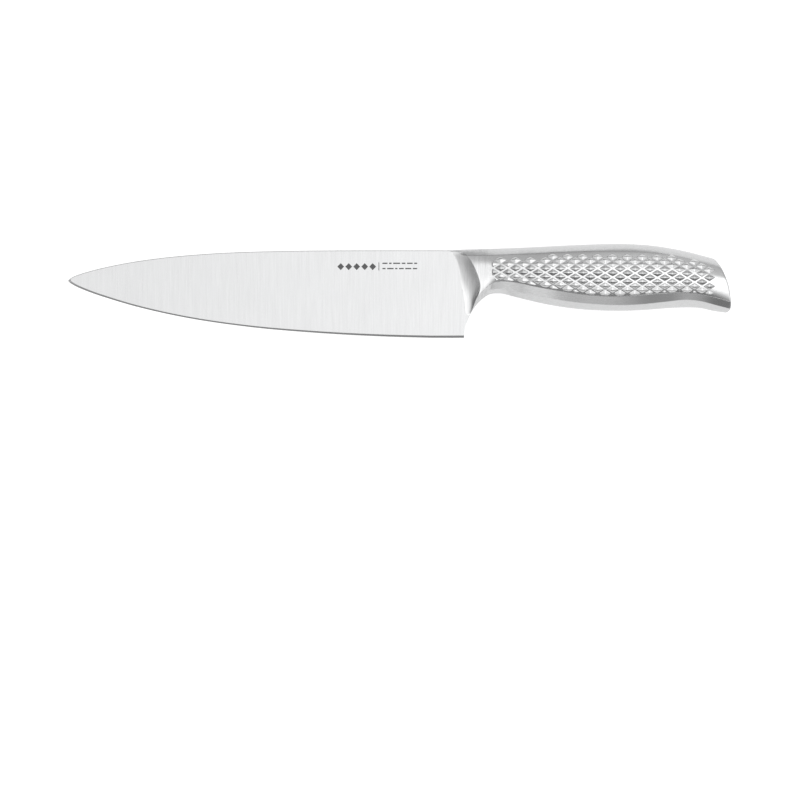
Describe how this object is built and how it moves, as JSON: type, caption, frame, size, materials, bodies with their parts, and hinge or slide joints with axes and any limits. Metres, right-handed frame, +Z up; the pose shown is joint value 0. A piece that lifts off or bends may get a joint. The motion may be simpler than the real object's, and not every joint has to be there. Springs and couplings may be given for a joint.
{
  "type": "chef knife",
  "caption": "Chef knife: long curved stainless blade, hollow-ground ramps into a slim bolster, and a hollow welded handle with raised diamond-shaped grip pyramids.",
  "frame": {"origin": "on the table, below the middle of the bounding box of the knife as it lies on its right side", "axes": "+X along the knife from tip to butt, +Y across the blade from edge to spine, +Z up from the table, out of the knife's left side"},
  "size_m": [0.3398, 0.0478, 0.0247],
  "materials": {
    "blade_steel": "satin, fine streaks across the blade",
    "bolster_steel": "satin with grind lines on the ramps",
    "grip_steel": "fine satin",
    "weld_steel": "welds ground flush and satin finished"
  },
  "bodies": {
    "root": {"blade": "blade_steel", "bolster": "bolster_steel", "handle_shell_left": "grip_steel", "handle_shell_right": "grip_steel", "end_cap": "grip_steel", "blade_weld_left": "weld_steel", "blade_weld_right": "weld_steel", "bolster_ring_weld": "weld_steel", "spine_seam_weld": "weld_steel", "belly_seam_weld": "weld_steel", "end_cap_ring_weld": "weld_steel"}
  },
  "joints": []
}
